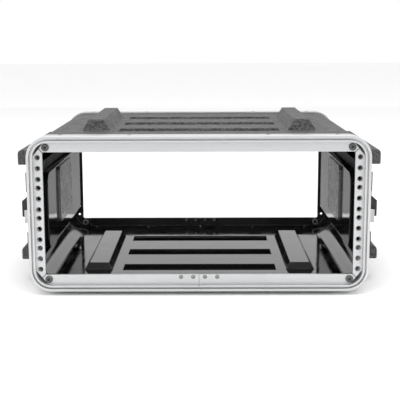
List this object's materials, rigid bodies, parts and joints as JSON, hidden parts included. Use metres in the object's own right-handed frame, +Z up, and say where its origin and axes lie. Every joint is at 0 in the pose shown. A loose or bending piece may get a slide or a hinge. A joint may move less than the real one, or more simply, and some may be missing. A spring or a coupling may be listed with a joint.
{
  "type": "equipment rack case",
  "caption": "Moulded rack case body for 19-inch audio equipment, open front and rear, with aluminium valances and sprung side handles.",
  "frame": {"origin": "middle of the footprint, on the surface that the bottom ribs stand on", "axes": "+X across the case to the right, -Y out of the front opening, +Z up"},
  "size_m": [0.556, 0.454, 0.2495],
  "materials": {
    "moulded_shell": "charcoal black polyethylene, leather grain outside, smooth and glossy inside",
    "valance_aluminium": "satin clear-anodised extrusion with fine draw lines",
    "screw_steel": "bright zinc-plated, low round head",
    "zinc_steel": "zinc-plated fasteners",
    "nickel_plate": "nickel-plated pressed steel",
    "keeper_steel": "dark phosphated steel",
    "black_steel": "black semi-gloss enamel",
    "rivet_aluminium": "plain blind rivets",
    "backing_plate": "dark grey semi-gloss enamel",
    "spring_steel": "oiled spring wire",
    "buffer_rubber": "soft black rubber",
    "grip_rubber": "moulded black elastomer, fine matt texture"
  },
  "bodies": {
    "case": {"body_shell": "moulded_shell", "front_corner_nuts": "zinc_steel", "front_corner_screws": "screw_steel", "front_keeper_rivets": "rivet_aluminium", "front_lower_left_bracket": "black_steel", "front_lower_left_keeper": "keeper_steel", "front_lower_right_bracket": "black_steel", "front_lower_right_keeper": "keeper_steel", "front_skirt_rivets": "rivet_aluminium", "front_splice_plate": "black_steel", "front_splice_rivets": "rivet_aluminium", "front_upper_left_bracket": "black_steel", "front_upper_left_keeper": "keeper_steel", "front_upper_right_bracket": "black_steel", "front_upper_right_keeper": "keeper_steel", "front_valance": "valance_aluminium", "left_backing_plate": "backing_plate", "left_handle_bolts": "zinc_steel", "left_handle_bracket": "nickel_plate", "left_handle_nuts": "zinc_steel", "left_hinge_pins": "zinc_steel", "left_pin_clips": "zinc_steel", "left_rest_buffers": "buffer_rubber", "left_return_springs": "spring_steel", "rear_corner_nuts": "zinc_steel", "rear_corner_screws": "screw_steel", "rear_keeper_rivets": "rivet_aluminium", "rear_lower_left_bracket": "black_steel", "rear_lower_left_keeper": "keeper_steel", "rear_lower_right_bracket": "black_steel", "rear_lower_right_keeper": "keeper_steel", "rear_skirt_rivets": "rivet_aluminium", "rear_splice_plate": "black_steel", "rear_splice_rivets": "rivet_aluminium", "rear_upper_left_bracket": "black_steel", "rear_upper_left_keeper": "keeper_steel", "rear_upper_right_bracket": "black_steel", "rear_upper_right_keeper": "keeper_steel", "rear_valance": "valance_aluminium", "right_backing_plate": "backing_plate", "right_handle_bolts": "zinc_steel", "right_handle_bracket": "nickel_plate", "right_handle_nuts": "zinc_steel", "right_hinge_pins": "zinc_steel", "right_pin_clips": "zinc_steel", "right_rest_buffers": "buffer_rubber", "right_return_springs": "spring_steel"},
    "left_handle": {"left_handle_bail": "nickel_plate", "left_handle_grip": "grip_rubber"},
    "right_handle": {"right_handle_bail": "nickel_plate", "right_handle_grip": "grip_rubber"}
  },
  "joints": [
    {"name": "left_handle_lift", "type": "hinge", "parent": "case", "child": "left_handle", "pos_m": [-0.262, 0, 0.133], "axis": [0, 1, 0], "range_deg": [0, 90], "stiffness_Nm_per_rad": 0.12, "springref_deg": -28.65},
    {"name": "right_handle_lift", "type": "hinge", "parent": "case", "child": "right_handle", "pos_m": [0.262, 0, 0.133], "axis": [0, -1, 0], "range_deg": [0, 90], "stiffness_Nm_per_rad": 0.12, "springref_deg": -28.65}
  ]
}
